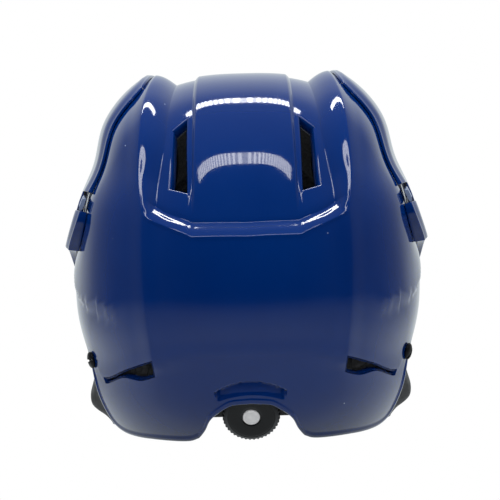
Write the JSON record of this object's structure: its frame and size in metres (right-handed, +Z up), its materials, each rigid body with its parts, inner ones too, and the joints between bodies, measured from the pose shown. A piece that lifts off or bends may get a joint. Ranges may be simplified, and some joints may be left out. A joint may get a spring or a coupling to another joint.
{
  "type": "ice hockey helmet",
  "caption": "Ice hockey helmet with a sliding front shell, a vented rear shell, foam liners, ear guards and a rear dial that tightens an occipital cradle.",
  "frame": {"origin": "middle of the base on the surface the helmet stands on, under its rear lobes and ear guards", "axes": "+Z up, the wearer faces +Y, +X is the wearer's right"},
  "size_m": [0.2228, 0.2662, 0.2129],
  "materials": {
    "shell": "high-gloss navy blue moulded polycarbonate",
    "lever": "satin navy plastic",
    "foam": "matt black moulded foam",
    "pad": "black brushed pad fabric",
    "black_plastic": "fine-textured black plastic",
    "dial_plastic": "satin charcoal plastic",
    "cap": "pale grey printed badge with a plain ring",
    "hardware": "black-coated screw steel"
  },
  "bodies": {
    "rear": {"rear_shell": "shell", "rear_liner": "foam", "crown_liner": "foam", "crown_liner_left": "foam", "crown_liner_right": "foam", "side_liner_left": "foam", "side_liner_right": "foam", "rear_pad": "pad", "crown_pad": "pad", "side_pad_left": "pad", "side_pad_right": "pad", "ear_guard_left": "black_plastic", "ear_guard_right": "black_plastic", "guard_screw_left": "hardware", "guard_screw_right": "hardware", "guard_nut_left": "hardware", "guard_nut_right": "hardware", "dial_housing": "dial_plastic"},
    "front": {"front_shell": "shell", "front_liner": "foam", "front_side_liner_left": "foam", "front_side_liner_right": "foam", "forehead_pad": "pad", "temple_pad_left": "pad", "temple_pad_right": "pad", "visor_screw_left": "hardware", "visor_screw_right": "hardware", "visor_nut_left": "hardware", "visor_nut_right": "hardware", "lever_pin_left": "hardware", "lever_pin_right": "hardware"},
    "dial": {"dial_knob": "dial_plastic", "dial_cap": "cap"},
    "cradle": {"occipital_cradle": "black_plastic", "cradle_pad": "pad"},
    "lever_left": {"lever_left": "lever"},
    "lever_right": {"lever_right": "lever"}
  },
  "joints": [
    {"name": "front_slide", "type": "slide", "parent": "rear", "child": "front", "axis": [0, 1, 0], "range_m": [-0.007, 0]},
    {"name": "dial_turn", "type": "hinge", "parent": "rear", "child": "dial", "pos_m": [0, -0.10938, 0.0157], "axis": [0, 0.9272, 0.3746], "range_deg": [0, 540]},
    {"name": "cradle_slide", "type": "slide", "parent": "rear", "child": "cradle", "axis": [0, 1, 0], "range_m": [0, 0.012]},
    {"name": "lever_left_hinge", "type": "hinge", "parent": "front", "child": "lever_left", "pos_m": [-0.09864, -0.04223, 0.13872], "axis": [-0.4091, -0.0068, -0.9125], "range_deg": [0, 85]},
    {"name": "lever_right_hinge", "type": "hinge", "parent": "front", "child": "lever_right", "pos_m": [0.09864, -0.04223, 0.13872], "axis": [-0.4091, 0.0068, 0.9125], "range_deg": [0, 85]}
  ],
  "couplings": [
    {"joint": "cradle_slide", "follows": "dial_turn", "m_per_rad": 0.00127}
  ]
}
